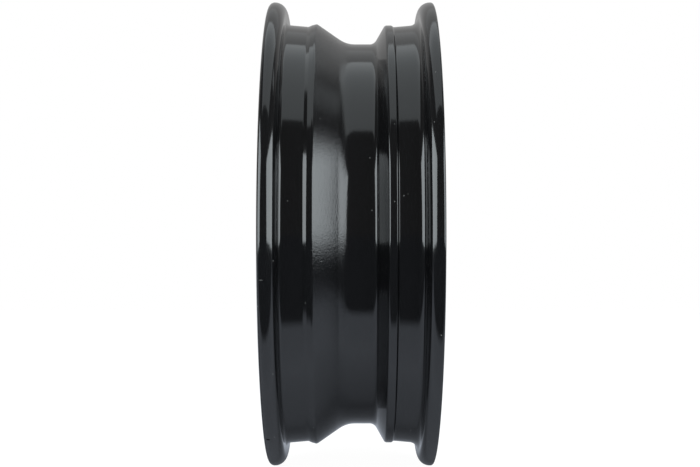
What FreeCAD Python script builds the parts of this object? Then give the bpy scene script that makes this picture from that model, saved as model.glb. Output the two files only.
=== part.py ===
"""One-piece cast alloy trailer wheel, 13 x 4 J with a hump on each bead seat and no offset.

The wheel turns about Y. Its outboard face looks along -Y, its inboard edge along +Y, and Z is up.
The origin is on the axle line, in the plane of the mounting face, which is the middle of the rim's width.
"""

import FreeCAD, Part
import math
import os
import Sketcher
from FreeCAD import Placement, Rotation, Vector

# Driving dimensions, in millimetres and degrees.
SIZES = {
    # Rim contour: the J form that a tyre's bead sits in
    "rim_diameter": 329.4,          # across the two bead seats, at the foot of the flanges
    "rim_width": 101.6,             # between the inner faces of the two flanges
    "flange_height": 17.3,
    "flange_curl": 9.0,             # radius of the inner edge of each flange
    "inboard_flange_width": 13.7,
    "outboard_flange_width": 11.4,
    "inboard_lip_lean": 0.8,        # how far its outer face leans in at the top
    "inboard_lip_radius": 4.0,
    "outboard_lip_bevel": 1.0,
    "heel_bevel": 1.6,              # hollow between a flange and its bead seat
    "bead_angle": 5.0,
    "inboard_seat_width": 19.2,
    "inboard_hump_width": 3.4,      # from the end of the seat to the crest of the hump
    "inboard_hump_height": 2.4,
    "outboard_seat_width": 17.6,
    "outboard_step_width": 1.4,     # the small step between the seat and the flat hump
    "outboard_hump_width": 5.2,
    "outboard_hump_height": 1.3,
    "well_depth": 14.9,
    "well_slope_angle": 34.5,       # long taper from the inboard hump down to the well
    "well_wall_angle": 60.0,        # steep wall from the well up to the outboard hump
    "well_slope_radius": 12.0,
    "well_wall_radius": 6.0,
    "hump_radius": 2.6,
    # Inside of the barrel
    "barrel_wall": 6.6,
    "barrel_draft": 1.6,            # how far the barrel opens towards each end, on the radius
    "inboard_lip_face": 11.0,       # flat ring on the outer side of each flange
    "outboard_lip_face": 9.0,
    "lip_bevel_depth": 13.0,        # bevel from that ring down into the barrel
    # Disc
    "hub_bore": 83.0,
    "bore_bevel": 2.0,
    "hub_thickness": 19.0,
    "pad_diameter": 150.0,          # mounting face
    "pad_height": 4.0,              # how far the mounting face stands behind the spokes
    "pad_bevel": 6.0,
    "hub_recess_diameter": 146.0,   # the nuts sit in a shallow dish
    "hub_recess_depth": 6.0,
    "hub_recess_slope": 8.0,
    "disc_root_radius": 6.0,        # in front, where the disc runs into the barrel
    "disc_root_bevel": 5.0,         # behind
    "disc_step": 3.0536,            # how far the spokes' front stands outboard of the foot of the well's wall
    "hub_edge_radius": 3.0,
    # Windows between the spokes
    "spoke_count": 5,
    "spoke_width_hub": 56.0,
    "spoke_width_rim": 50.0,
    "window_inner_diameter": 174.0,
    "window_outer_diameter": 268.0,
    "window_corner": 11.0,
    "window_front_radius": 4.0,
    # Cored backs of the spokes
    "core_wall": 8.0,
    "core_depth": 9.5,
    "core_corner": 7.0,
    # Wheel nuts
    "lug_count": 5,
    "lug_circle": 114.3,
    "lug_hole": 15.2,
    "lug_seat": 23.0,
    "lug_seat_angle": 60.0,
    # Tyre valve
    "valve_hole": 11.5,
    "valve_drop": 9.0,              # from the top of the hump down to the middle of the hole, on the radius
}


def make_sheet(doc):
    """Put every driving dimension into the spreadsheet as a plain number with an alias."""
    sheet = doc.addObject("Spreadsheet::Sheet", "sizes")
    for row, (name, value) in enumerate(SIZES.items(), start=1):
        sheet.set(f"A{row}", name)
        sheet.set(f"B{row}", str(value))
        sheet.setAlias(f"B{row}", name)
    doc.recompute()
    return sheet


# Radii that several sketches share, written as expressions on the cells.
BEAD_R = "(sizes.rim_diameter / 2)"
TOP_R = f"({BEAD_R} + sizes.flange_height)"
INBOARD_SEAT_R = f"({BEAD_R} - sizes.inboard_seat_width * tan(sizes.bead_angle))"
INBOARD_HUMP_R = f"({INBOARD_SEAT_R} + sizes.inboard_hump_height)"
OUTBOARD_SEAT_R = f"({BEAD_R} - sizes.outboard_seat_width * tan(sizes.bead_angle))"
OUTBOARD_HUMP_R = f"({OUTBOARD_SEAT_R} + sizes.outboard_hump_height)"
WELL_R = f"({BEAD_R} - sizes.well_depth)"
WELL_INSIDE_R = f"({WELL_R} - sizes.barrel_wall)"
LAND_R = f"({BEAD_R} - sizes.barrel_wall - sizes.barrel_draft)"
PAD_FOOT_R = "(sizes.pad_diameter / 2 + sizes.pad_bevel)"
WINDOW_IN_R = "(sizes.window_inner_diameter / 2)"
WINDOW_OUT_R = "(sizes.window_outer_diameter / 2)"

# Positions along the axle. The mounting face is at 0, and the foot of the well's wall follows the spokes' front,
# which sets where the two flanges are.
HUB_FRONT = "(-sizes.hub_thickness)"
SPOKE_FRONT = "(-sizes.hub_thickness - sizes.hub_recess_depth)"
SPOKE_BACK = "(-sizes.pad_height)"
WALL_FOOT = f"({SPOKE_FRONT} + sizes.disc_step)"
WALL_RUN = f"(({OUTBOARD_HUMP_R} - {WELL_INSIDE_R}) / tan(sizes.well_wall_angle))"
OUTBOARD_HUMP_Y = f"({WALL_FOOT} - {WALL_RUN} + sizes.barrel_wall / sin(sizes.well_wall_angle))"
OUTBOARD_STEP_Y = f"({OUTBOARD_HUMP_Y} - sizes.outboard_hump_width)"
OUTBOARD_SEAT_Y = f"({OUTBOARD_STEP_Y} - sizes.outboard_step_width)"
OUTBOARD_FLANGE_Y = f"({OUTBOARD_SEAT_Y} - sizes.outboard_seat_width)"
INBOARD_FLANGE_Y = f"({OUTBOARD_FLANGE_Y} + sizes.rim_width)"
INBOARD_SEAT_Y = f"({INBOARD_FLANGE_Y} - sizes.inboard_seat_width)"
INBOARD_HUMP_Y = f"({INBOARD_SEAT_Y} - sizes.inboard_hump_width)"
INBOARD_END = f"({INBOARD_FLANGE_Y} + sizes.inboard_flange_width)"
OUTBOARD_END = f"({OUTBOARD_FLANGE_Y} - sizes.outboard_flange_width)"


def slope_y(radius, depth):
    """Where the long inboard taper is at a radius, a depth below its surface."""
    run = f"({INBOARD_HUMP_R} - {radius}) / tan(sizes.well_slope_angle)"
    return f"({INBOARD_HUMP_Y} - {run} + {depth} / sin(sizes.well_slope_angle))"


def wall_y(radius, depth):
    """Where the steep outboard wall of the well is at a radius, a depth below its surface."""
    run = f"({OUTBOARD_HUMP_R} - {radius}) / tan(sizes.well_wall_angle)"
    return f"({OUTBOARD_HUMP_Y} + {run} - {depth} / sin(sizes.well_wall_angle))"


def wall_r(along, depth):
    """The radius of that wall at a position along the axle, a depth below its surface."""
    shift = f"{along} - {OUTBOARD_HUMP_Y} + {depth} / sin(sizes.well_wall_angle)"
    return f"({OUTBOARD_HUMP_R} - ({shift}) * tan(sizes.well_wall_angle))"


def new_sketch(body, name, plane):
    """Add a sketch on one of the body's own origin planes."""
    planes = {feature.Role: feature for feature in body.Origin.OriginFeatures}
    sketch = body.newObject("Sketcher::SketchObject", name)
    sketch.AttachmentSupport = [(planes[plane], "")]
    sketch.MapMode = "FlatFace"
    return sketch


def place_point(sketch, index, end, across, up):
    """Tie one end of a line or arc to expressions for its two coordinates."""
    for kind, expression in (("DistanceX", across), ("DistanceY", up)):
        if expression is None:
            continue
        now = sketch.getPoint(index, end)
        value = now.x if kind == "DistanceX" else now.y
        number = sketch.addConstraint(Sketcher.Constraint(kind, -1, 1, index, end, value))
        sketch.setExpression(f"Constraints[{number}]", expression)


START = Vector(100, 150, 0)  # where a sketch's points begin, before their expressions place them
START_SPREAD = 40


def closed_outline(sketch, corners):
    """Draw a closed polygon whose corners are pairs of expressions."""
    count = len(corners)
    start = sketch.GeometryCount
    turns = [2 * math.pi * k / count for k in range(count)]
    ring = [START + Vector(math.cos(turn), math.sin(turn), 0) * START_SPREAD for turn in turns]
    for k in range(count):
        sketch.addGeometry(Part.LineSegment(ring[k], ring[(k + 1) % count]))
    for k in range(count):
        following = start + (k + 1) % count
        sketch.addConstraint(Sketcher.Constraint("Coincident", start + k, 2, following, 1))
    for k, (across, up) in enumerate(corners):
        place_point(sketch, start + k, 1, across, up)
    sketch.Document.recompute()
    return [sketch.getPoint(start + k, 1) for k in range(count)]


def least(size, *limits):
    """The least of some cells, each times a factor: its value and its expression."""
    value = min(size(name) * factor for name, factor in limits)
    terms = "; ".join(f"sizes.{name} * {factor}" for name, factor in limits)
    return value, f"min({terms})"


def rounded_outline(sketch, corners, roundings):
    """Draw a closed outline of lines, with tangent arcs round those corners that have a rounding.

    The corners are pairs of expressions. A rounding is a value and its expression, or None for a sharp corner.
    """
    count = len(corners)
    for across, up in corners:
        point = sketch.addGeometry(Part.Point(START), True)
        place_point(sketch, point, 1, across, up)
    sketch.Document.recompute()
    at = [sketch.getPoint(k, 1) for k in range(count)]
    arcs = [corner_arc(at[k - 1], at[k], at[(k + 1) % count], roundings[k]) for k in range(count)]
    lines = []
    for k in range(count):
        begin, end = arcs[k][2], arcs[(k + 1) % count][1]
        lines.append(sketch.addGeometry(Part.LineSegment(begin, end)))
    for k in range(count):
        arc, first, last, turns_left = arcs[k]
        if arc is None:
            sketch.addConstraint(Sketcher.Constraint("Coincident", lines[k - 1], 2, k, 1))
            sketch.addConstraint(Sketcher.Constraint("Coincident", lines[k], 1, k, 1))
            continue
        bend = sketch.addGeometry(arc)
        arc_ends = (1, 2) if turns_left else (2, 1)
        sketch.addConstraint(Sketcher.Constraint("Tangent", lines[k - 1], 2, bend, arc_ends[0]))
        sketch.addConstraint(Sketcher.Constraint("Tangent", bend, arc_ends[1], lines[k], 1))
        sketch.addConstraint(Sketcher.Constraint("PointOnObject", k, 1, lines[k - 1]))
        sketch.addConstraint(Sketcher.Constraint("PointOnObject", k, 1, lines[k]))
        number = sketch.addConstraint(Sketcher.Constraint("Radius", bend, roundings[k][0]))
        sketch.setExpression(f"Constraints[{number}]", roundings[k][1])
    sketch.Document.recompute()


def corner_arc(before, here, after, rounding):
    """The arc that rounds a corner, with its two ends and whether the outline turns left there."""
    if rounding is None:
        return None, here, here, True
    radius = rounding[0]
    arrive = (here - before).normalize()
    leave = (after - here).normalize()
    turn = math.atan2(arrive.x * leave.y - arrive.y * leave.x, arrive.dot(leave))
    reach = radius * math.tan(abs(turn) / 2)
    first = here - arrive * reach
    last = here + leave * reach
    middle = here + (leave - arrive).normalize() * (radius / math.cos(turn / 2) - radius)
    return Part.Arc(first, middle, last), first, last, turn > 0


def edge_names(shape, wanted):
    """Names of the edges that a test picks."""
    return [f"Edge{k}" for k, edge in enumerate(shape.Edges, start=1) if wanted(edge)]


def fillet(body, name, radius, edges):
    """Round named edges of the body so far, with an expression for the radius."""
    if not edges:
        raise RuntimeError(f"{name}: no edges were found")
    base = body.Tip
    feature = body.newObject("PartDesign::Fillet", name)
    feature.Base = (base, edges)
    feature.setExpression("Radius", radius)
    body.Document.recompute()


def revolve(body, kind, name, sketch, axis):
    """Turn a sketch right round one of its own axes."""
    feature = body.newObject(f"PartDesign::{kind}", name)
    feature.Profile = sketch
    feature.ReferenceAxis = (sketch, [axis])
    feature.Angle = 360
    body.Document.recompute()
    return feature


def around(body, name, feature, count):
    """Repeat a feature round the axle."""
    axes = {item.Role: item for item in body.Origin.OriginFeatures}
    pattern = body.newObject("PartDesign::PolarPattern", name)
    pattern.Originals = [feature]
    pattern.Axis = (axes["Y_Axis"], [""])
    pattern.Angle = 360
    pattern.setExpression("Occurrences", count)
    body.Tip = pattern
    body.Document.recompute()
    return pattern


def build_casting(body, size):
    """Revolve one section of rim and disc."""
    section = new_sketch(body, "wheel_section", "YZ_Plane")
    curl = least(size, ("flange_curl", 1), ("inboard_flange_width", 0.66), ("outboard_flange_width", 0.79),
                 ("flange_height", 0.6))
    lip = least(size, ("inboard_lip_radius", 1), ("inboard_flange_width", 0.295))
    hump = least(size, ("hump_radius", 1), ("inboard_hump_width", 0.9), ("outboard_hump_width", 0.7))
    slope_bend = least(size, ("well_slope_radius", 1))
    wall_bend = least(size, ("well_wall_radius", 1))
    disc_root = least(size, ("disc_root_radius", 1))
    hub_edge = least(size, ("hub_edge_radius", 1), ("hub_recess_slope", 0.8))
    bore = "sizes.hub_bore / 2"
    recess_r = "sizes.hub_recess_diameter / 2"
    pad_r = "sizes.pad_diameter / 2"
    heel_drop = "sizes.heel_bevel * tan(sizes.bead_angle)"
    corners = [
        # Outside, from the inboard flange across the well to the outboard flange
        (f"{INBOARD_END} - sizes.inboard_lip_lean", TOP_R, lip),
        (INBOARD_FLANGE_Y, TOP_R, curl),
        (INBOARD_FLANGE_Y, f"{BEAD_R} + sizes.heel_bevel", None),
        (f"{INBOARD_FLANGE_Y} - sizes.heel_bevel", f"{BEAD_R} - {heel_drop}", None),
        (INBOARD_SEAT_Y, INBOARD_SEAT_R, None),
        (INBOARD_HUMP_Y, INBOARD_HUMP_R, hump),
        (slope_y(WELL_R, 0), WELL_R, slope_bend),
        (wall_y(WELL_R, 0), WELL_R, wall_bend),
        (OUTBOARD_HUMP_Y, OUTBOARD_HUMP_R, hump),
        (OUTBOARD_STEP_Y, OUTBOARD_HUMP_R, None),
        (OUTBOARD_SEAT_Y, OUTBOARD_SEAT_R, None),
        (f"{OUTBOARD_FLANGE_Y} + sizes.heel_bevel", f"{BEAD_R} - {heel_drop}", None),
        (OUTBOARD_FLANGE_Y, f"{BEAD_R} + sizes.heel_bevel", None),
        (OUTBOARD_FLANGE_Y, TOP_R, curl),
        (f"{OUTBOARD_END} + sizes.outboard_lip_bevel", TOP_R, None),
        (OUTBOARD_END, f"{TOP_R} - sizes.outboard_lip_bevel", None),
        # Front of the wheel, from the outboard flange down the disc to the bore
        (OUTBOARD_END, f"{TOP_R} - sizes.outboard_lip_face", None),
        (f"{OUTBOARD_END} + sizes.lip_bevel_depth", f"{BEAD_R} - sizes.barrel_wall", None),
        (wall_y(LAND_R, "sizes.barrel_wall"), LAND_R, None),
        (SPOKE_FRONT, wall_r(SPOKE_FRONT, "sizes.barrel_wall"), disc_root),
        (SPOKE_FRONT, f"{recess_r} + sizes.hub_recess_slope", hub_edge),
        (HUB_FRONT, recess_r, hub_edge),
        (HUB_FRONT, f"{bore} + sizes.bore_bevel", None),
        (f"{HUB_FRONT} + sizes.bore_bevel", bore, None),
        # Back of the wheel, from the bore up the disc to the inboard flange
        ("-sizes.bore_bevel", bore, None),
        ("0", f"{bore} + sizes.bore_bevel", None),
        ("0", pad_r, None),
        (SPOKE_BACK, PAD_FOOT_R, None),
        (SPOKE_BACK, f"{WELL_INSIDE_R} - sizes.disc_root_bevel", None),
        (f"{SPOKE_BACK} + sizes.disc_root_bevel", WELL_INSIDE_R, None),
        (slope_y(WELL_INSIDE_R, "sizes.barrel_wall"), WELL_INSIDE_R, None),
        (slope_y(LAND_R, "sizes.barrel_wall"), LAND_R, None),
        (f"{INBOARD_END} - sizes.lip_bevel_depth", f"{BEAD_R} - sizes.barrel_wall", None),
        (INBOARD_END, f"{TOP_R} - sizes.inboard_lip_face", None),
    ]
    rounded_outline(section, [corner[:2] for corner in corners], [corner[2] for corner in corners])
    revolve(body, "Revolution", "casting", section, "H_Axis")


def is_straight_along_axle(edge):
    """True for a straight edge parallel to the axle."""
    return isinstance(edge.Curve, Part.Line) and abs(edge.Curve.Direction.y) > 0.9999


def axle_span(edge):
    """Lowest and highest position of an edge along the axle."""
    spots = [point.y for point in edge.discretize(5)]
    return min(spots), max(spots)


def radial_span(edge):
    """Least and greatest distance of an edge from the axle."""
    spots = [math.hypot(point.x, point.z) for point in edge.discretize(5)]
    return min(spots), max(spots)


def window_radii(size):
    """Inner and outer radius of the windows, as numbers."""
    return size("window_inner_diameter") / 2, size("window_outer_diameter") / 2


def build_windows(body, size):
    """Cut the first window at the bottom and repeat it, so that one spoke points straight up."""
    sketch = new_sketch(body, "window", "XZ_Plane")
    arcs = []
    sides = zip(window_radii(size), (WINDOW_IN_R, WINDOW_OUT_R), ("spoke_width_hub", "spoke_width_rim"))
    for radius, expression, width in sides:
        half = math.pi / size("spoke_count") - math.asin(size(width) / 2 / radius)
        circle = Part.Circle(Vector(0, 0, 0), Vector(0, 0, 1), radius)
        arc = sketch.addGeometry(Part.ArcOfCircle(circle, -math.pi / 2 - half, -math.pi / 2 + half))
        sketch.addConstraint(Sketcher.Constraint("Coincident", arc, 3, -1, 1))
        number = sketch.addConstraint(Sketcher.Constraint("Radius", arc, radius))
        sketch.setExpression(f"Constraints[{number}]", expression)
        reach = f"{expression} * sin(180 deg / sizes.spoke_count - asin(sizes.{width} / 2 / {expression}))"
        place_point(sketch, arc, 1, f"-({reach})", None)
        place_point(sketch, arc, 2, reach, None)
        arcs.append(arc)
    for end in (1, 2):
        points = [sketch.getPoint(arc, end) for arc in arcs]
        side = sketch.addGeometry(Part.LineSegment(*points))
        for line_end, arc in zip((1, 2), arcs):
            sketch.addConstraint(Sketcher.Constraint("Coincident", side, line_end, arc, end))
    window = body.newObject("PartDesign::Pocket", "window_cut")
    window.Profile = sketch
    window.Type = "ThroughAll"
    window.Midplane = True
    around(body, "windows", window, "sizes.spoke_count")
    inner, outer = window_radii(size)

    def at_corner(edge):
        near, far = radial_span(edge)
        return is_straight_along_axle(edge) and near > inner - 0.5 and far < outer + 0.5
    fillet(body, "window_corners", "sizes.window_corner", edge_names(body.Tip.Shape, at_corner))


def build_cores(body, size):
    """Hollow the back of each spoke, starting with the spoke that points up."""
    sketch = new_sketch(body, "core", "XZ_Plane")
    hub_half = "(sizes.spoke_width_hub / 2 - sizes.core_wall)"
    rim_half = "(sizes.spoke_width_rim / 2 - sizes.core_wall)"
    hub_z = f"{WINDOW_IN_R} + sizes.core_wall / 4"
    rim_z = f"{WINDOW_OUT_R} - sizes.core_wall / 2"
    closed_outline(sketch, [(f"-{hub_half}", hub_z), (hub_half, hub_z), (rim_half, rim_z), (f"-{rim_half}", rim_z)])
    core = body.newObject("PartDesign::Pocket", "core_cut")
    core.Profile = sketch
    core.Type = "Length"
    core.Reversed = True
    core.setExpression("Length", "sizes.pad_height + sizes.core_depth")
    around(body, "cores", core, "sizes.spoke_count")
    back = -size("pad_height")
    floor = back - size("core_depth")

    def at_corner(edge):
        low, high = axle_span(edge)
        return is_straight_along_axle(edge) and abs(low - floor) < 0.02 and abs(high - back) < 0.02
    fillet(body, "core_corners", "min(sizes.core_corner; sizes.spoke_width_rim / 2 - sizes.core_wall - 1)",
          edge_names(body.Tip.Shape, at_corner))


def soften_spokes(body, size):
    """Round the front edges of the windows."""
    inner, outer = window_radii(size)
    middle = -size("pad_height") - size("core_depth")

    def in_front(edge):
        near, far = radial_span(edge)
        return near > inner - 1 and far < outer + 1 and axle_span(edge)[1] < middle - 1
    fillet(body, "spoke_fronts", "sizes.window_front_radius", edge_names(body.Tip.Shape, in_front))


def build_lugs(body):
    """Turn the first nut hole with its cone seat, between two spokes, and repeat it."""
    sketch = new_sketch(body, "lug_section", "YZ_Plane")
    centre = "-sizes.lug_circle / 2"
    hole = f"{centre} + sizes.lug_hole / 2"
    seat = f"{centre} + sizes.lug_seat / 2"
    cone = "(sizes.lug_seat - sizes.lug_hole) / 2 / tan(sizes.lug_seat_angle / 2)"
    beyond = f"{HUB_FRONT} - sizes.hub_recess_depth"
    closed_outline(sketch, [("1", centre), ("1", hole), (f"{HUB_FRONT} + {cone}", hole), (HUB_FRONT, seat),
                            (beyond, seat), (beyond, centre)])
    line = sketch.addGeometry(Part.LineSegment(sketch.getPoint(0, 1), sketch.getPoint(5, 1)), True)
    sketch.addConstraint(Sketcher.Constraint("Coincident", line, 1, 0, 1))
    sketch.addConstraint(Sketcher.Constraint("Coincident", line, 2, 5, 1))
    lug = revolve(body, "Groove", "lug_cut", sketch, "Axis0")
    around(body, "lugs", lug, "sizes.lug_count")


def build_valve_hole(body, size):
    """Turn the valve hole square to the steep wall of the well, opposite the middle of a window."""
    sketch = new_sketch(body, "valve_section", "XY_Plane")
    turn = 90 - 360 / size("spoke_count")
    sketch.AttachmentOffset = Placement(Vector(0, 0, 0), Rotation(Vector(0, 1, 0), turn))
    sketch.setExpression("AttachmentOffset.Rotation.Angle", "90 deg - 360 deg / sizes.spoke_count")
    radius = f"({OUTBOARD_HUMP_R} - sizes.valve_drop)"
    along = wall_y(radius, 0)
    over = "sin(sizes.well_wall_angle)"
    out = "cos(sizes.well_wall_angle)"
    half = "sizes.valve_hole / 2"
    outer = "sizes.valve_hole * 0.8"
    inner = "(sizes.barrel_wall + sizes.valve_hole * 0.6)"
    ends = [(f"{radius} + {outer} * {out}", f"{along} + {outer} * {over}"),
            (f"{radius} - {inner} * {out}", f"{along} - {inner} * {over}")]
    sides = [(f"{across} + {half} * {over}", f"{up} - {half} * {out}") for across, up in ends]
    closed_outline(sketch, [ends[0], ends[1], sides[1], sides[0]])
    line = sketch.addGeometry(Part.LineSegment(sketch.getPoint(0, 1), sketch.getPoint(1, 1)), True)
    sketch.addConstraint(Sketcher.Constraint("Coincident", line, 1, 0, 1))
    sketch.addConstraint(Sketcher.Constraint("Coincident", line, 2, 1, 1))
    revolve(body, "Groove", "valve_cut", sketch, "Axis0")


def check(doc):
    """Stop if any object of the document has failed or any shape isn't sound."""
    for item in doc.Objects:
        if "Invalid" in item.State or "Error" in item.State:
            raise RuntimeError(f"{item.Name} has failed: {item.State}")
        if item.isDerivedFrom("PartDesign::Feature") or item.isDerivedFrom("PartDesign::Body"):
            if item.Shape.isNull() or not item.Shape.isValid():
                raise RuntimeError(f"{item.Name} has no sound shape")


def main():
    doc = FreeCAD.newDocument("trailer_wheel")
    sheet = make_sheet(doc)

    def size(name):
        return float(sheet.get(name))

    wheel = doc.addObject("PartDesign::Body", "wheel")
    wheel.Label = "wheel"
    wheel.Placement = Placement(Vector(0, 0, 0), Rotation())
    build_casting(wheel, size)
    build_windows(wheel, size)
    build_cores(wheel, size)
    soften_spokes(wheel, size)
    build_lugs(wheel)
    build_valve_hole(wheel, size)
    doc.recompute()
    check(doc)
    os.makedirs("parts", exist_ok=True)
    wheel.Shape.exportStep(f"parts/{wheel.Label}.step")
    box = wheel.Shape.optimalBoundingBox(False)
    print(f"{wheel.Label}: {box.XLength:.2f} x {box.YLength:.2f} x {box.ZLength:.2f} mm, "
          f"{wheel.Shape.Volume / 1000:.1f} cm3, {len(wheel.Shape.Solids)} solid")


main()
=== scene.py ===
# %% [markdown]
# A trailer wheel, cast in one piece from aluminium alloy and coated gloss black, standing on its tread edge.
# The exact solid is loaded first. Everything that shows is built around it, in the same frame:
# the axle lies along Y, the spoked face looks along -Y, Z is up and the unit is the metre.

# %% Load the wheel's frame
import math

import bmesh
import bpy
from mathutils import Matrix, Vector


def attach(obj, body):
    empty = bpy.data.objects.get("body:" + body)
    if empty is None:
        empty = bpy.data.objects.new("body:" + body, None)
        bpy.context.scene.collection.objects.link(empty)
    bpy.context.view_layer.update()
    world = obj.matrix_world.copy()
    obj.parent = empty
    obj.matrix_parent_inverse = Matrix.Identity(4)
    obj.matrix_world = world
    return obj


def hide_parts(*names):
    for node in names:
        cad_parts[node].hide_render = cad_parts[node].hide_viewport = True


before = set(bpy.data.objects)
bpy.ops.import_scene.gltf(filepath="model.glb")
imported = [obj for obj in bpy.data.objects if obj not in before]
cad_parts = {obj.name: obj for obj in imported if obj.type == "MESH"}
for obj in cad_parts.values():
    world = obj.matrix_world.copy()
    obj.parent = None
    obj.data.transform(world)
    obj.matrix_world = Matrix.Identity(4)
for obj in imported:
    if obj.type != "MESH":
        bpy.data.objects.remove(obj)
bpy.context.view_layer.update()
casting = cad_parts["wheel"]
MM = 0.001

# %% [markdown]
# A barrel is turned on a lathe, so one drawn section says everything about it.
# The section is a list of sharp corners, each with the radius of the arc that rounds it.
# It could be spun with the Screw modifier, but then Blender would guess the shading at every arc's end.
# Here each point keeps the exact direction its surface faces, so the gloss runs without a ripple.

# %% Draw the barrel's section
BEAD_R = 164.7          # bead seat at the foot of the flange, half of the 13 inch rim size
HALF_WIDTH = 50.8       # half of the 4 inch width between the flanges
TOP_R = BEAD_R + 17.3   # a J flange stands 17.3 mm above the seat
WALL = 6.6
BEAD_SLOPE = math.tan(math.radians(5.0))
SLOPE_ANGLE = math.radians(34.5)
WALL_ANGLE = math.radians(60.0)
INBOARD_END = HALF_WIDTH + 13.7
OUTBOARD_END = -HALF_WIDTH - 11.4
SEAT_IN_WIDTH, SEAT_OUT_WIDTH = 16.7, 18.9
SEAT_IN_Y, SEAT_OUT_Y = HALF_WIDTH - SEAT_IN_WIDTH, SEAT_OUT_WIDTH - HALF_WIDTH
SEAT_IN_R, SEAT_OUT_R = BEAD_R - SEAT_IN_WIDTH * BEAD_SLOPE, BEAD_R - SEAT_OUT_WIDTH * BEAD_SLOPE
CREST_Y, CREST_R = SEAT_IN_Y - 2.8, SEAT_IN_R + 1.2
HUMP_IN_Y, HUMP_IN_R = CREST_Y - 3.8, CREST_R + 1.0
STEP_Y = SEAT_OUT_Y + 1.4
HUMP_OUT_Y, HUMP_OUT_R = STEP_Y + 5.2, SEAT_OUT_R + 1.3
WELL_R = BEAD_R - 14.9
WELL_INSIDE_R = WELL_R - WALL
LAND_R = BEAD_R - WALL - 1.6
WEB_WALL = 7.6          # the steep wall carries the disc and is thicker than the rest
FLANGE_BACK = 13.0      # from a flange's edge to where its hollow side meets the inside of the barrel


def slope_y(radius, depth):
    """Position of the long inboard taper at a radius, a depth below its surface."""
    return HUMP_IN_Y - (HUMP_IN_R - radius) / math.tan(SLOPE_ANGLE) + depth / math.sin(SLOPE_ANGLE)


def wall_y(radius, depth):
    """Position of the steep outboard wall at a radius, a depth below its surface."""
    return HUMP_OUT_Y + (HUMP_OUT_R - radius) / math.tan(WALL_ANGLE) - depth / math.sin(WALL_ANGLE)


# Each corner is its place along the axle, its radius from the axle and the radius of its rounding.
SECTION = [
    (INBOARD_END - 0.8, TOP_R, 4.0),
    (HALF_WIDTH, TOP_R, 9.0),
    (HALF_WIDTH, BEAD_R, 3.0),
    (SEAT_IN_Y, SEAT_IN_R, 2.2),
    (CREST_Y, CREST_R, 2.0),
    (HUMP_IN_Y, HUMP_IN_R, 2.2),
    (slope_y(WELL_R, 0), WELL_R, 21.0),
    (wall_y(WELL_R, 0), WELL_R, 6.0),
    (HUMP_OUT_Y, HUMP_OUT_R, 2.6),
    (STEP_Y, HUMP_OUT_R, 1.6),
    (SEAT_OUT_Y, SEAT_OUT_R, 1.6),
    (-HALF_WIDTH, BEAD_R, 6.5),
    (-HALF_WIDTH, TOP_R, 9.0),
    (OUTBOARD_END, TOP_R, 1.8),
    (OUTBOARD_END, TOP_R - 9.0, 2.0),
    (OUTBOARD_END + FLANGE_BACK, BEAD_R - WALL, 7.0),
    (wall_y(LAND_R, WEB_WALL), LAND_R, 7.0),
    (wall_y(WELL_INSIDE_R, WEB_WALL), WELL_INSIDE_R, 2.0),
    (slope_y(WELL_INSIDE_R, WALL), WELL_INSIDE_R, 7.0),
    (slope_y(LAND_R, WALL), LAND_R, 7.0),
    (INBOARD_END - FLANGE_BACK, BEAD_R - WALL, 7.0),
    (INBOARD_END, TOP_R - 11.0, 2.0),
]
SLOPE_CORNERS = (5, 6)  # the as-cast taper runs between these two corners
ARC_STEP = math.radians(7.5)


def rounded_section(corners):
    """Points of a closed section with its corners rounded: (place, facing direction, corner number)."""
    points = []
    count = len(corners)
    for k, (along, radius, rounding) in enumerate(corners):
        here = Vector((along, radius))
        before = Vector(corners[k - 1][:2])
        after = Vector(corners[(k + 1) % count][:2])
        arrive = (here - before).normalized()
        leave = (after - here).normalized()
        turn = math.atan2(arrive.x * leave.y - arrive.y * leave.x, arrive.dot(leave))
        reach = rounding * math.tan(abs(turn) / 2)
        side = 1 if turn > 0 else -1
        inward = Vector((-arrive.y, arrive.x)) * side
        centre = here - arrive * reach + inward * rounding
        steps = max(2, math.ceil(abs(turn) / ARC_STEP))
        for step in range(steps + 1):
            angle = turn * step / steps
            cosine, sine = math.cos(angle), math.sin(angle)
            spoke = Vector((-inward.x * cosine + inward.y * sine, -inward.x * sine - inward.y * cosine))
            facing = spoke if side > 0 else -spoke
            points.append((centre + spoke * rounding, facing, k))
    return points


section = rounded_section(SECTION)
print("section:", len(section), "points,", len(SECTION), "corners")

# %% [markdown]
# The lathe step: every point of the section is carried round the axle, and each ring is joined to the next.
# A number on each point says how much of the rough cast skin shows there.
# The long taper between the inboard hump and the well is left as it came from the mould.

# %% Turn the section into the barrel
TURNS = 240
CAST_SKIN = "cast_skin"
INSIDE_SKIN = 0.45      # on the inside of the barrel and the back of the disc
verts, faces, facings, skins = [], [], [], []


def skin_at(corner, facing):
    """How rough the cast skin is: full on the taper, some inside the barrel, none on the machined seats."""
    if corner in SLOPE_CORNERS and facing.y > 0.3 and facing.x < -0.35:
        return 1.0
    return INSIDE_SKIN if facing.y < -0.3 else 0.0


for place, facing, corner in section:
    skin = skin_at(corner, facing)
    for step in range(TURNS):
        angle = 2 * math.pi * step / TURNS
        around = (math.cos(angle), math.sin(angle))
        verts.append((place.y * MM * around[0], place.x * MM, place.y * MM * around[1]))
        facings.append((facing.y * around[0], facing.x, facing.y * around[1]))
        skins.append(skin)
for ring in range(len(section)):
    following = (ring + 1) % len(section)
    for step in range(TURNS):
        onward = (step + 1) % TURNS
        faces.append((ring * TURNS + step, ring * TURNS + onward, following * TURNS + onward, following * TURNS + step))
print("barrel:", len(verts), "points,", len(faces), "faces")

# %% [markdown]
# The valve hole goes square through the steep wall, on the side away from the camera.
# A Boolean modifier cuts it cleanly. Its new points lie on the cut, and their shading is read off the section.

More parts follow.
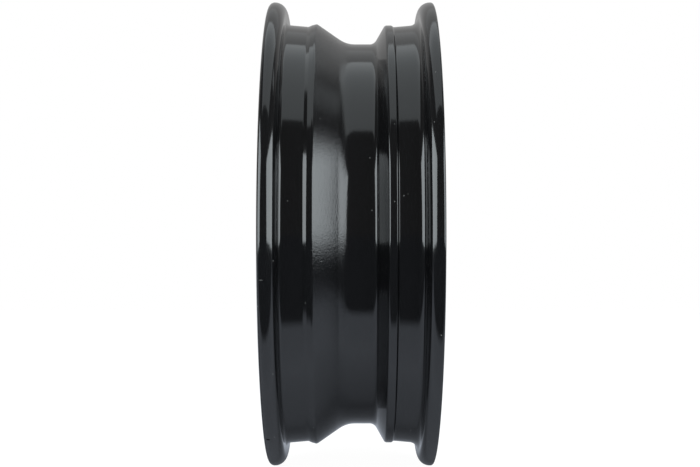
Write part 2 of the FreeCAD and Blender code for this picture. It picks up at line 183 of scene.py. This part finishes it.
# %% Drill the valve hole
VALVE_R = 5.75 * MM
VALVE_PLACE = Vector((0.146178, -0.024451, -0.047496))
VALVE_AXIS = Vector((0.475528, 0.866025, -0.154508)).normalized()
DRILL_LENGTH = 30 * MM
FACING = "facing"
ON_HOLE = 0.01 * MM     # a point this near to the drill's surface lies on the hole


def place_mesh(name, mesh):
    """Put a mesh into the scene under a name."""
    thing = bpy.data.objects.new(name, mesh)
    bpy.context.scene.collection.objects.link(thing)
    return thing


def facing_at(place):
    """The way the turned surface faces at a place, read off the nearest stretch of the section."""
    radius = math.hypot(place.x, place.z)
    flat = Vector((place.y, radius)) / MM
    nearest, found = math.inf, None
    for (start, start_facing, _), (end, end_facing, _) in zip(section, section[1:] + section[:1]):
        run = end - start
        share = min(1.0, max(0.0, (flat - start).dot(run) / run.length_squared))
        gap = (start + run * share - flat).length
        if gap < nearest:
            nearest, found = gap, start_facing.lerp(end_facing, share).normalized()
    return Vector((found.y * place.x / radius, found.x, found.y * place.z / radius))


blank = bpy.data.meshes.new("barrel")
blank.from_pydata(verts, [], faces)
blank.attributes.new(CAST_SKIN, "FLOAT", "POINT").data.foreach_set("value", skins)
flat_facings = [part for facing in facings for part in facing]
blank.attributes.new(FACING, "FLOAT_VECTOR", "POINT").data.foreach_set("vector", flat_facings)
barrel = place_mesh("barrel", blank)
cutter = bmesh.new()
bmesh.ops.create_cone(cutter, cap_ends=True, segments=48, radius1=VALVE_R, radius2=VALVE_R, depth=DRILL_LENGTH,
                      matrix=Matrix.Translation(VALVE_PLACE) @ VALVE_AXIS.to_track_quat("Z", "Y").to_matrix().to_4x4())
drill_mesh = bpy.data.meshes.new("drill")
cutter.to_mesh(drill_mesh)
cutter.free()
drill = place_mesh("drill", drill_mesh)
hole = barrel.modifiers.new("valve_hole", "BOOLEAN")
hole.operation = "DIFFERENCE"
hole.solver = "EXACT"
hole.object = drill
drilled = bpy.data.meshes.new_from_object(barrel.evaluated_get(bpy.context.evaluated_depsgraph_get()))
bpy.data.objects.remove(barrel)
bpy.data.objects.remove(drill)
print("drilled:", len(drilled.vertices) - len(verts), "points more")

# %% [markdown]
# The drilled barrel is read back as lists. Inside the hole the surface faces the hole's axis.

# %% Read the drilled barrel back
verts = [vert.co.copy() for vert in drilled.vertices]
faces = [list(face.vertices) for face in drilled.polygons]
skins = [item.value for item in drilled.attributes[CAST_SKIN].data]
kept = [item.vector.copy() for item in drilled.attributes[FACING].data]


def from_axis(place):
    """Shortest way from the valve hole's axis to a place."""
    way = place - VALVE_PLACE
    return way - VALVE_AXIS * way.dot(VALVE_AXIS)


near_hole = {k for k, place in enumerate(verts) if abs(from_axis(place).length - VALVE_R) < ON_HOLE
             and (place - VALVE_PLACE).length < DRILL_LENGTH}
turned = [facing_at(verts[k]) if k in near_hole else kept[k].normalized() for k in range(len(verts))]
facings = []
for face in faces:
    if near_hole.issuperset(face):
        facings += [-from_axis(verts[k]).normalized() for k in face]
    else:
        facings += [turned[k] for k in face]
print("hole:", len(near_hole), "points on its edge")

# %% [markdown]
# The disc has windows, cored spokes and nut holes, and the solid already holds them exactly.
# So the disc is taken from a copy of the solid's mesh, without the barrel, and its points are merged.
# Its triangles differ in size, so each corner's shading is the average of the faces that it joins smoothly,
# weighted by their areas: the large flat faces stay flat and only the fillets turn.

# %% Take the disc from the solid
FRONT_ROOT_Y = (-26.5, -22.0)   # the fillet where the disc's front meets the barrel lies between these
FRONT_ROOT_R = 150.3            # and within this radius
ROOT_CENTRE = Vector((-31.0, 146.9))   # middle of that fillet's arc: place along the axle and radius
FLAT_LIMIT = 0.99995    # a face turned this squarely to the axle is flat and keeps its own direction
SMOOTH_LIMIT = math.cos(math.radians(32.0))
MERGE = 0.002 * MM
BACK_Y = -12.0          # what lies inboard of this is the unmachined back of the disc

disc = bmesh.new()
disc.from_mesh(casting.data)
bmesh.ops.remove_doubles(disc, verts=disc.verts, dist=MERGE)


def in_front_root(face):
    """True for faces of the fillet in front of the disc's rim."""
    places = [vert.co.y / MM for vert in face.verts]
    outside = min(math.hypot(vert.co.x, vert.co.z) for vert in face.verts) > (ROOT_CENTRE.y - 0.1) * MM
    return outside and min(places) > FRONT_ROOT_Y[0] and max(places) < FRONT_ROOT_Y[1]


def belongs_to_disc(face):
    """True for faces inside the barrel's wall, and for the fillet where the disc's front meets the barrel."""
    radii = [math.hypot(vert.co.x, vert.co.z) for vert in face.verts]
    if min(radii) < (WELL_INSIDE_R - 0.05) * MM:
        return True
    return max(radii) < FRONT_ROOT_R * MM and in_front_root(face)


bmesh.ops.delete(disc, geom=[face for face in disc.faces if not belongs_to_disc(face)], context="FACES")
disc.normal_update()
areas = {face: face.calc_area() for face in disc.faces}


def corner_facing(face, vert):
    """Shading direction of one face corner, from the faces round its point that turn smoothly into it."""
    if abs(face.normal.y) > FLAT_LIMIT:
        return face.normal
    if in_front_root(face):
        radius = math.hypot(vert.co.x, vert.co.z)
        way = (ROOT_CENTRE - Vector((vert.co.y, radius)) / MM).normalized()
        return Vector((way.y * vert.co.x / radius, way.x, way.y * vert.co.z / radius))
    total = Vector()
    for other in vert.link_faces:
        if other.normal.dot(face.normal) > SMOOTH_LIMIT:
            total += other.normal * areas[other]
    return total.normalized()


disc.verts.index_update()
disc_verts = [vert.co[:] for vert in disc.verts]
disc_faces = [[vert.index for vert in face.verts] for face in disc.faces]
disc_facings = [corner_facing(face, vert)[:] for face in disc.faces for vert in face.verts]
disc.free()
print("disc:", len(disc_verts), "points,", len(disc_faces), "faces")

# %% [markdown]
# The real wheel is a single casting, so barrel and disc go into one mesh, which stands in for the solid.

# %% Join barrel and disc into one casting
start = len(verts)
all_faces = faces + [[index + start for index in face] for face in disc_faces]
wheel_mesh = bpy.data.meshes.new("wheel_casting")
wheel_mesh.from_pydata(verts + disc_verts, [], all_faces)
corner_facings = facings + disc_facings
wheel_mesh.polygons.foreach_set("use_smooth", [True] * len(all_faces))
wheel_mesh.normals_split_custom_set(corner_facings)
roughness_map = wheel_mesh.attributes.new(CAST_SKIN, "FLOAT", "POINT")
disc_skins = [INSIDE_SKIN if place[1] > BACK_Y * MM else 0.0 for place in disc_verts]
roughness_map.data.foreach_set("value", skins + disc_skins)
wheel = place_mesh("wheel_casting", wheel_mesh)
print("casting:", len(wheel_mesh.polygons), "faces")

# %% [markdown]
# Colours are written as sRGB hex values, as a paint chart gives them, and turned to linear light by one function.
# One small function adds a shader node, sets its values and links its inputs.

# %% Colour and node helpers
def linear(hex_colour):
    """Turn an sRGB hex colour into linear light with full opacity."""
    parts = [int(hex_colour[k:k + 2], 16) / 255 for k in (1, 3, 5)]
    return [part / 12.92 if part <= 0.04045 else ((part + 0.055) / 1.055) ** 2.4 for part in parts] + [1.0]


def add(tree, kind, settings=None, **inputs):
    """Add a node, set its properties, and give each named input a value or a link."""
    node = tree.nodes.new(kind)
    for name, value in (settings or {}).items():
        setattr(node, name, value)
    for name, value in inputs.items():
        key = int(name[1:]) if name[0] == "_" and name[1:].isdigit() else name.replace("_", " ")
        if isinstance(value, bpy.types.NodeSocket):
            tree.links.new(value, node.inputs[key])
        else:
            node.inputs[key].default_value = value
    return node


print("middle grey in linear light:", round(linear("#808080")[0], 3))

# %% [markdown]
# The finish is powder coat: a black polyester film, baked on, about a tenth of a millimetre thick.
# It flows out glossy but keeps a faint orange peel a few millimetres across.
# Over the taper it is thin enough for the grain of the mould to show, which breaks the gloss up.
# A few grains of pale dust lie on it, as on anything glossy and black, and the inboard flange has a nick and a scratch.

# %% Gloss black powder coat
ORANGE_PEEL = 3.5 * MM   # width of one ripple
CAST_GRAIN = 1.2 * MM    # width of one grain of the mould's skin
HANDLED = 60 * MM        # width of the patches that handling has dulled a little
ROUGH_CLEAN, ROUGH_HANDLED = 0.08, 0.12
ROUGH_SKIN = 0.06        # what the full cast skin adds
DUST_SPACING = 11.0 * MM
DUST_SIZE = 0.22 * MM
COAT_BLACK = "#0b0b0c"
NICK = ((-0.1023, 0.0608, -0.1505), (0.0010, 0.0020, 0.0010))      # place and half sizes, on the inboard flange
SCRATCH = ((-0.1785, 0.0608, -0.0355), (0.0030, 0.0013, 0.0003))
DUST_GREY = "#8d8d8a"


def mark(tree, place, centre, half_sizes):
    """Mask of one small mark: 1 on it, 0 away from it."""
    offset = add(tree, "ShaderNodeVectorMath", {"operation": "SUBTRACT"}, _0=place, _1=centre).outputs[0]
    spread = add(tree, "ShaderNodeVectorMath", {"operation": "DIVIDE"}, _0=offset, _1=half_sizes).outputs[0]
    reach = add(tree, "ShaderNodeVectorMath", {"operation": "LENGTH"}, _0=spread).outputs["Value"]
    return add(tree, "ShaderNodeMapRange", {"clamp": True}, Value=reach, From_Min=0.8, From_Max=1.1,
               To_Min=1.0, To_Max=0.0).outputs["Result"]


def powder_coat():
    """Gloss black powder coat over cast alloy, grainy where the cast skin shows."""
    material = bpy.data.materials.new("powder_coat_gloss_black")
    material.use_nodes = True
    tree = material.node_tree
    tree.nodes.clear()
    place = add(tree, "ShaderNodeTexCoord").outputs["Object"]
    skin = add(tree, "ShaderNodeAttribute", {"attribute_name": CAST_SKIN}).outputs["Fac"]
    peel = add(tree, "ShaderNodeTexNoise", Vector=place, Scale=1 / ORANGE_PEEL, Detail=1.0).outputs["Fac"]
    grain = add(tree, "ShaderNodeTexNoise", Vector=place, Scale=1 / CAST_GRAIN, Detail=3.0,
                Roughness=0.6).outputs["Fac"]
    peel_bump = add(tree, "ShaderNodeBump", Height=peel, Strength=0.05, Distance=0.25 * MM).outputs["Normal"]
    grain_depth = add(tree, "ShaderNodeMath", {"operation": "MULTIPLY"}, _0=skin, _1=0.6).outputs[0]
    grain_bump = add(tree, "ShaderNodeBump", Height=grain, Strength=grain_depth, Distance=0.2 * MM,
                     Normal=peel_bump).outputs["Normal"]
    dust_cells = add(tree, "ShaderNodeTexVoronoi", {"feature": "F1"}, Vector=place, Scale=1 / DUST_SPACING,
                     Randomness=1.0).outputs["Distance"]
    dust = add(tree, "ShaderNodeMapRange", {"clamp": True}, Value=dust_cells,
               From_Min=DUST_SIZE / DUST_SPACING, From_Max=1.6 * DUST_SIZE / DUST_SPACING,
               To_Min=0.8, To_Max=0.0).outputs["Result"]
    pale = add(tree, "ShaderNodeMath", {"operation": "MULTIPLY_ADD", "use_clamp": True},
               _0=mark(tree, place, *SCRATCH), _1=0.25, _2=dust).outputs[0]
    colour = add(tree, "ShaderNodeMix", {"data_type": "RGBA"}, Factor=pale, _6=linear(COAT_BLACK),
                 _7=linear(DUST_GREY)).outputs[2]
    handled = add(tree, "ShaderNodeTexNoise", Vector=place, Scale=1 / HANDLED, Detail=4.0).outputs["Fac"]
    worn = add(tree, "ShaderNodeMapRange", Value=handled, From_Min=0.35, From_Max=0.75,
               To_Min=ROUGH_CLEAN, To_Max=ROUGH_HANDLED).outputs["Result"]
    rough = add(tree, "ShaderNodeMath", {"operation": "MULTIPLY_ADD"}, _0=skin, _1=ROUGH_SKIN, _2=worn).outputs[0]
    dusty = add(tree, "ShaderNodeMath", {"operation": "MULTIPLY_ADD", "use_clamp": True}, _0=dust, _1=0.5,
                _2=rough).outputs[0]
    gloss = add(tree, "ShaderNodeMath", {"operation": "MULTIPLY_ADD"}, _0=mark(tree, place, *NICK), _1=-0.5,
                _2=0.5).outputs[0]
    coat = add(tree, "ShaderNodeBsdfPrincipled", Base_Color=colour, Roughness=dusty, IOR=1.5,
               Specular_IOR_Level=gloss, Normal=grain_bump)
    add(tree, "ShaderNodeOutputMaterial", Surface=coat.outputs["BSDF"])
    return material


wheel_mesh.materials.append(powder_coat())
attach(wheel, "root")
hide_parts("wheel")
print("finish:", wheel_mesh.materials[0].name)

# %% [markdown]
# The wheel was photographed edge-on from about a metre away, a little below its axle.
# The camera stands on the -X side and looks along +X, with the inboard flange on its left.

# %% Camera
PHOTO_WIDTH = 700
PHOTO_HEIGHT = 467
CAMERA_DISTANCE = 1.050
CAMERA_DROP = 0.029
CAMERA_SIDE = 0.0005
FOCAL_PIXELS = 1316
SENSOR = 36.0
CENTRE_PIXEL = (351.7, 233.95)   # where the axle's middle appears in the photograph

camera_data = bpy.data.cameras.new("camera")
camera_data.sensor_width = SENSOR
camera_data.lens = FOCAL_PIXELS * SENSOR / PHOTO_WIDTH
camera_data.shift_x = (PHOTO_WIDTH / 2 - CENTRE_PIXEL[0]) / PHOTO_WIDTH
camera_data.shift_y = (CENTRE_PIXEL[1] - PHOTO_HEIGHT / 2) / PHOTO_WIDTH
camera = bpy.data.objects.new("camera", camera_data)
camera.location = (-CAMERA_DISTANCE, CAMERA_SIDE, -CAMERA_DROP)
aim = Vector((0, CAMERA_SIDE, 0)) - camera.location
camera.rotation_euler = aim.to_track_quat("-Z", "Y").to_euler()
bpy.context.scene.collection.objects.link(camera)
bpy.context.scene.camera = camera
print("lens:", round(camera_data.lens, 1), "mm")

# %% [markdown]
# Gloss black shows the room more than itself, so the room is the lighting.
# A panel hangs overhead with a faint one behind it, and a soft box stands to the left and to the right of the camera.
# A small panel high on the right adds a short highlight.

# %% Studio lights
LAMP_WHITE = "#eff8fc"


def soft_box(name, place, target, size, brightness):
    """A rectangular lamp that faces a target. Brightness is what the wheel sees: 1 is white."""
    data = bpy.data.lights.new(name, "AREA")
    data.shape = "RECTANGLE"
    data.size, data.size_y = size
    data.energy = brightness * math.pi * size[0] * size[1]
    data.color = linear(LAMP_WHITE)[:3]
    lamp = bpy.data.objects.new(name, data)
    lamp.location = place
    lamp.rotation_euler = (Vector(target) - Vector(place)).to_track_quat("-Z", "Y").to_euler()
    lamp.visible_camera = False
    bpy.context.scene.collection.objects.link(lamp)
    return lamp


soft_box("overhead_panel", (-0.1, 0, 1.5), (-0.1, 0, 0), (1.7, 1.9), 1.1)
soft_box("rear_panel", (1.2, 0, 1.5), (1.2, 0, 0), (0.9, 1.9), 0.15)
soft_box("left_soft_box", (-0.64, 1.21, 0.35), (-0.15, 0, 0), (1.15, 1.0), 6.0)
soft_box("right_soft_box", (-0.80, -1.13, 0.35), (-0.15, 0, 0), (1.40, 1.0), 6.0)
soft_box("small_panel", (0.2, -1.33, 1.5), (-0.1, 0, 0.1), (0.30, 0.35), 1.0)

# %% [markdown]
# The floor is plain white card. Seen directly it glows to paper white,
# and the share that is left to real light keeps the wheel's shadow.
# In the gloss it shows a painted pattern instead of lit card: painted dark far out towards the camera, a painted bright
# strip before the wheel, the wheel's shadow painted dark under it and painted light again behind it.

# %% Floor
FLOOR_Z = -TOP_R * MM
FLOOR_HALF = 4.0
CARD_WHITE = "#f4f4f4"
GLOW_SHARE = 0.85
GLOW_STRENGTH = 1.15
REACH = 0.5             # the list below holds places along X within this distance of the axle, and how bright each is
# painted floor light and painted shadow, seen only in reflections: a place along X and the glow painted there
PAINTED_FLOOR_LIGHT_AND_SHADOW = [(-0.262, 0.13), (-0.235, 1.0), (-0.15, 0.98), (-0.04, 0.16),
               (0.0, 0.18), (0.06, 0.35), (0.20, 0.90)]
PAINTED_FLOOR_LIGHT_TINT = "#e4edfb"

floor_mesh = bpy.data.meshes.new("floor")
floor_mesh.from_pydata([(-FLOOR_HALF, -FLOOR_HALF, FLOOR_Z), (FLOOR_HALF, -FLOOR_HALF, FLOOR_Z),
                        (FLOOR_HALF, FLOOR_HALF, FLOOR_Z), (-FLOOR_HALF, FLOOR_HALF, FLOOR_Z)], [], [(0, 1, 2, 3)])
floor = place_mesh("floor", floor_mesh)
card = bpy.data.materials.new("white_card")
card.use_nodes = True
tree = card.node_tree
tree.nodes.clear()
ray = add(tree, "ShaderNodeLightPath")
along = add(tree, "ShaderNodeSeparateXYZ", Vector=add(tree, "ShaderNodeTexCoord").outputs["Object"]).outputs["X"]
spread = add(tree, "ShaderNodeMapRange", Value=along, From_Min=-REACH, From_Max=REACH).outputs["Result"]
# painted light and the wheel's painted shadow, laid along the floor for reflections only
painted_floor_light = add(tree, "ShaderNodeValToRGB", Fac=spread)
painted_light_levels = [((place + REACH) / (2 * REACH), (level, level, level, 1.0)) for place, level in PAINTED_FLOOR_LIGHT_AND_SHADOW]
stops = painted_floor_light.color_ramp.elements
stops.remove(stops[1])
stops[0].position, stops[0].color = painted_light_levels[0]
for position, colour in painted_light_levels[1:]:
    stops.new(position).color = colour
share = add(tree, "ShaderNodeMath", {"operation": "MULTIPLY"}, _0=ray.outputs["Is Camera Ray"],
            _1=GLOW_SHARE).outputs[0]
matte = add(tree, "ShaderNodeBsdfDiffuse", Color=linear(CARD_WHITE))
glow = add(tree, "ShaderNodeEmission", Strength=GLOW_STRENGTH)
seen = add(tree, "ShaderNodeMixShader", Fac=share, _1=matte.outputs[0], _2=glow.outputs[0])
# what reflections see of the floor: painted light and painted shadow, not lamplight
painted_light_in_gloss = add(tree, "ShaderNodeEmission", Color=linear(PAINTED_FLOOR_LIGHT_TINT), Strength=painted_floor_light.outputs["Color"])
mixed = add(tree, "ShaderNodeMixShader", Fac=ray.outputs["Is Glossy Ray"], _1=seen.outputs[0],
            _2=painted_light_in_gloss.outputs[0])
add(tree, "ShaderNodeOutputMaterial", Surface=mixed.outputs[0])
floor_mesh.materials.append(card)
print("floor at", round(FLOOR_Z / MM, 1), "mm")

# %% [markdown]
# The room is white to the camera. The gloss and the light see it as it is: dark, and grey beyond the wheel.

# %% Room
ROOM_DARK, ROOM_GREY = 0.13, 0.45
GREY_FROM, GREY_FULL = 0.20, 0.60   # the grey comes in between these directions along X

world = bpy.data.worlds.new("white_room")
bpy.context.scene.world = world
world.use_nodes = True
tree = world.node_tree
tree.nodes.clear()
ray = add(tree, "ShaderNodeLightPath")
direction = add(tree, "ShaderNodeSeparateXYZ", Vector=add(tree, "ShaderNodeTexCoord").outputs["Generated"])
behind = add(tree, "ShaderNodeMapRange", {"interpolation_type": "SMOOTHSTEP"}, Value=direction.outputs["X"],
             From_Min=GREY_FROM, From_Max=GREY_FULL, To_Min=ROOM_DARK, To_Max=ROOM_GREY).outputs["Result"]
white = add(tree, "ShaderNodeMath", {"operation": "MAXIMUM"}, _0=behind, _1=ray.outputs["Is Camera Ray"]).outputs[0]
room = add(tree, "ShaderNodeBackground", Color=linear("#ffffff"), Strength=white)
add(tree, "ShaderNodeOutputWorld", Surface=room.outputs[0])
bpy.context.scene.view_settings.view_transform = "Standard"
print("room:", world.name)
